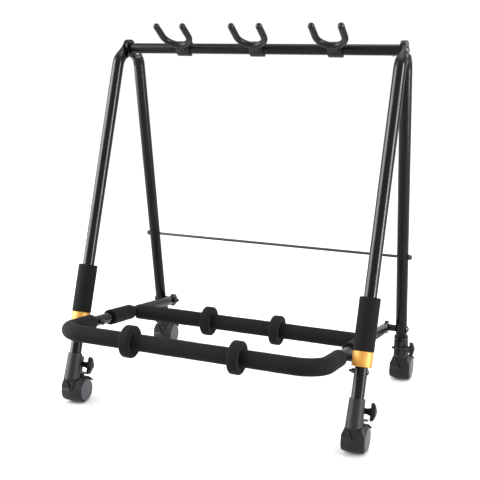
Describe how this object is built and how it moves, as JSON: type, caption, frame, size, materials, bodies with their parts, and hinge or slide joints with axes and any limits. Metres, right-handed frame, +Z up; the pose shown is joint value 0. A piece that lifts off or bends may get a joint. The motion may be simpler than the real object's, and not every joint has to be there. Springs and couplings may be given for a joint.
{
  "type": "guitar rack",
  "caption": "Folding A-frame floor rack on casters: tube legs, a top bar with foam neck yokes and a foam-covered body cradle.",
  "frame": {"origin": "on the floor, on the rack's left-right symmetry plane and under the middle of its depth; the top bar's axis is 114.5 mm behind it, at height 746 mm", "axes": "+X along the top bar to the rack's right as seen from the front, -Y to the front, where the guitars face, +Z up"},
  "size_m": [0.685, 0.5906, 0.7991],
  "materials": {
    "black_tube": "gloss powder coat",
    "zinc": "zinc-plated",
    "amber_collar": "satin gold",
    "foam": "matt closed-cell foam",
    "dark_plastic": "finely textured moulding",
    "wheel_plastic": "satin moulding"
  },
  "bodies": {
    "front_frame": {"front_leg_left": "black_tube", "front_leg_right": "black_tube", "top_bar": "black_tube", "bar_plugs": "zinc", "bar_screws": "zinc", "top_bolts": "zinc", "top_washers": "zinc", "stop_bolts": "zinc", "stop_nuts": "zinc", "socket_front_left": "dark_plastic", "socket_front_right": "dark_plastic"},
    "rear_frame": {"rear_leg_left": "black_tube", "rear_leg_right": "black_tube", "spacer_rod": "zinc", "rod_nuts": "zinc", "rear_pivots": "zinc", "rear_spacers": "dark_plastic", "socket_rear_left": "dark_plastic", "socket_rear_right": "dark_plastic"},
    "cradle": {"cradle_tube": "black_tube", "cross_tube": "black_tube", "front_foam": "foam", "side_foams": "foam", "cross_foam": "foam", "front_pivots": "zinc", "front_spacers": "dark_plastic"},
    "collar_slide_left": {"collar_left": "amber_collar", "grip_foam_left": "foam"},
    "collar_slide_right": {"collar_right": "amber_collar", "grip_foam_right": "foam"},
    "neck_yoke_left": {"yoke_clip_left": "dark_plastic", "yoke_left": "foam"},
    "neck_yoke_middle": {"yoke_clip_middle": "dark_plastic", "yoke_middle": "foam"},
    "neck_yoke_right": {"yoke_clip_right": "dark_plastic", "yoke_right": "foam"},
    "front_foam_ring_left": {"front_ring_left": "foam"},
    "front_foam_ring_right": {"front_ring_right": "foam"},
    "rear_foam_ring_left": {"rear_ring_left": "foam"},
    "rear_foam_ring_right": {"rear_ring_right": "foam"},
    "clamp_knob_front_left": {"knob_front_left": "dark_plastic"},
    "caster_front_left": {"hood_front_left": "dark_plastic"},
    "caster_wheel_front_left_outer": {"wheel_front_left_outer": "wheel_plastic"},
    "caster_wheel_front_left_inner": {"wheel_front_left_inner": "wheel_plastic"},
    "brake_pedal_front_left": {"brake_front_left": "dark_plastic"},
    "clamp_knob_front_right": {"knob_front_right": "dark_plastic"},
    "caster_front_right": {"hood_front_right": "dark_plastic"},
    "caster_wheel_front_right_outer": {"wheel_front_right_outer": "wheel_plastic"},
    "caster_wheel_front_right_inner": {"wheel_front_right_inner": "wheel_plastic"},
    "brake_pedal_front_right": {"brake_front_right": "dark_plastic"},
    "clamp_knob_rear_left": {"knob_rear_left": "dark_plastic"},
    "caster_rear_left": {"hood_rear_left": "dark_plastic"},
    "caster_wheel_rear_left_outer": {"wheel_rear_left_outer": "wheel_plastic"},
    "caster_wheel_rear_left_inner": {"wheel_rear_left_inner": "wheel_plastic"},
    "brake_pedal_rear_left": {"brake_rear_left": "dark_plastic"},
    "clamp_knob_rear_right": {"knob_rear_right": "dark_plastic"},
    "caster_rear_right": {"hood_rear_right": "dark_plastic"},
    "caster_wheel_rear_right_outer": {"wheel_rear_right_outer": "wheel_plastic"},
    "caster_wheel_rear_right_inner": {"wheel_rear_right_inner": "wheel_plastic"},
    "brake_pedal_rear_right": {"brake_rear_right": "dark_plastic"}
  },
  "joints": [
    {"name": "leg_fold", "type": "hinge", "parent": "front_frame", "child": "rear_frame", "pos_m": [0, 0.1145, 0.746], "axis": [-1, 0, 0], "range_deg": [0, 25]},
    {"name": "cradle_fold", "type": "hinge", "parent": "rear_frame", "child": "cradle", "pos_m": [0, 0.23622, 0.1285], "axis": [-1, 0, 0], "range_deg": [0, 61]},
    {"name": "collar_rise_left", "type": "slide", "parent": "front_frame", "child": "collar_slide_left", "axis": [0, 0.3453, 0.9385], "range_m": [0, 0.3405]},
    {"name": "collar_rise_right", "type": "slide", "parent": "front_frame", "child": "collar_slide_right", "axis": [0, 0.3453, 0.9385], "range_m": [0, 0.3405]},
    {"name": "neck_yoke_shift_left", "type": "slide", "parent": "front_frame", "child": "neck_yoke_left", "axis": [1, 0, 0], "range_m": [-0.04, 0.04]},
    {"name": "neck_yoke_shift_middle", "type": "slide", "parent": "front_frame", "child": "neck_yoke_middle", "axis": [1, 0, 0], "range_m": [-0.04, 0.04]},
    {"name": "neck_yoke_shift_right", "type": "slide", "parent": "front_frame", "child": "neck_yoke_right", "axis": [1, 0, 0], "range_m": [-0.04, 0.04]},
    {"name": "front_ring_shift_left", "type": "slide", "parent": "cradle", "child": "front_foam_ring_left", "axis": [1, 0, 0], "range_m": [-0.06, 0.06]},
    {"name": "front_ring_shift_right", "type": "slide", "parent": "cradle", "child": "front_foam_ring_right", "axis": [1, 0, 0], "range_m": [-0.06, 0.06]},
    {"name": "rear_ring_shift_left", "type": "slide", "parent": "cradle", "child": "rear_foam_ring_left", "axis": [1, 0, 0], "range_m": [-0.05, 0.05]},
    {"name": "rear_ring_shift_right", "type": "slide", "parent": "cradle", "child": "rear_foam_ring_right", "axis": [1, 0, 0], "range_m": [-0.05, 0.05]},
    {"name": "knob_turn_front_left", "type": "hinge", "parent": "front_frame", "child": "clamp_knob_front_left", "pos_m": [-0.3135, -0.14121, 0.08271], "axis": [1, 0, 0], "continuous": true},
    {"name": "swivel_front_left", "type": "hinge", "parent": "front_frame", "child": "caster_front_left", "pos_m": [-0.3135, -0.16836, 0.06], "axis": [0, 0, 1], "continuous": true},
    {"name": "roll_front_left_outer", "type": "hinge", "parent": "caster_front_left", "child": "caster_wheel_front_left_outer", "pos_m": [-0.3135, -0.14836, 0.0275], "axis": [1, 0, 0], "continuous": true},
    {"name": "roll_front_left_inner", "type": "hinge", "parent": "caster_front_left", "child": "caster_wheel_front_left_inner", "pos_m": [-0.3135, -0.14836, 0.0275], "axis": [1, 0, 0], "continuous": true},
    {"name": "brake_press_front_left", "type": "hinge", "parent": "caster_front_left", "child": "brake_pedal_front_left", "pos_m": [-0.3135, -0.14236, 0.0601], "axis": [1, 0, 0], "range_deg": [-8, 0]},
    {"name": "knob_turn_front_right", "type": "hinge", "parent": "front_frame", "child": "clamp_knob_front_right", "pos_m": [0.3135, -0.14121, 0.08271], "axis": [1, 0, 0], "continuous": true},
    {"name": "swivel_front_right", "type": "hinge", "parent": "front_frame", "child": "caster_front_right", "pos_m": [0.3135, -0.16836, 0.06], "axis": [0, 0, 1], "continuous": true},
    {"name": "roll_front_right_outer", "type": "hinge", "parent": "caster_front_right", "child": "caster_wheel_front_right_outer", "pos_m": [0.3135, -0.14836, 0.0275], "axis": [1, 0, 0], "continuous": true},
    {"name": "roll_front_right_inner", "type": "hinge", "parent": "caster_front_right", "child": "caster_wheel_front_right_inner", "pos_m": [0.3135, -0.14836, 0.0275], "axis": [1, 0, 0], "continuous": true},
    {"name": "brake_press_front_right", "type": "hinge", "parent": "caster_front_right", "child": "brake_pedal_front_right", "pos_m": [0.3135, -0.14236, 0.0601], "axis": [1, 0, 0], "range_deg": [-8, 0]},
    {"name": "knob_turn_rear_left", "type": "hinge", "parent": "rear_frame", "child": "clamp_knob_rear_left", "pos_m": [-0.307, 0.22154, 0.08707], "axis": [1, 0, 0], "continuous": true},
    {"name": "swivel_rear_left", "type": "hinge", "parent": "rear_frame", "child": "caster_rear_left", "pos_m": [-0.307, 0.24488, 0.06], "axis": [0, 0, 1], "continuous": true},
    {"name": "roll_rear_left_outer", "type": "hinge", "parent": "caster_rear_left", "child": "caster_wheel_rear_left_outer", "pos_m": [-0.307, 0.26488, 0.0275], "axis": [1, 0, 0], "continuous": true},
    {"name": "roll_rear_left_inner", "type": "hinge", "parent": "caster_rear_left", "child": "caster_wheel_rear_left_inner", "pos_m": [-0.307, 0.26488, 0.0275], "axis": [1, 0, 0], "continuous": true},
    {"name": "brake_press_rear_left", "type": "hinge", "parent": "caster_rear_left", "child": "brake_pedal_rear_left", "pos_m": [-0.307, 0.27088, 0.0601], "axis": [1, 0, 0], "range_deg": [-8, 0]},
    {"name": "knob_turn_rear_right", "type": "hinge", "parent": "rear_frame", "child": "clamp_knob_rear_right", "pos_m": [0.307, 0.22154, 0.08707], "axis": [1, 0, 0], "continuous": true},
    {"name": "swivel_rear_right", "type": "hinge", "parent": "rear_frame", "child": "caster_rear_right", "pos_m": [0.307, 0.24488, 0.06], "axis": [0, 0, 1], "continuous": true},
    {"name": "roll_rear_right_outer", "type": "hinge", "parent": "caster_rear_right", "child": "caster_wheel_rear_right_outer", "pos_m": [0.307, 0.26488, 0.0275], "axis": [1, 0, 0], "continuous": true},
    {"name": "roll_rear_right_inner", "type": "hinge", "parent": "caster_rear_right", "child": "caster_wheel_rear_right_inner", "pos_m": [0.307, 0.26488, 0.0275], "axis": [1, 0, 0], "continuous": true},
    {"name": "brake_press_rear_right", "type": "hinge", "parent": "caster_rear_right", "child": "brake_pedal_rear_right", "pos_m": [0.307, 0.27088, 0.0601], "axis": [1, 0, 0], "range_deg": [-8, 0]}
  ],
  "couplings": [
    {"joint": "cradle_fold", "follows": "leg_fold", "ratio": 2.437},
    {"joint": "collar_rise_left", "follows": "leg_fold", "m_per_rad": 0.7796},
    {"joint": "collar_rise_right", "follows": "leg_fold", "m_per_rad": 0.7796}
  ]
}
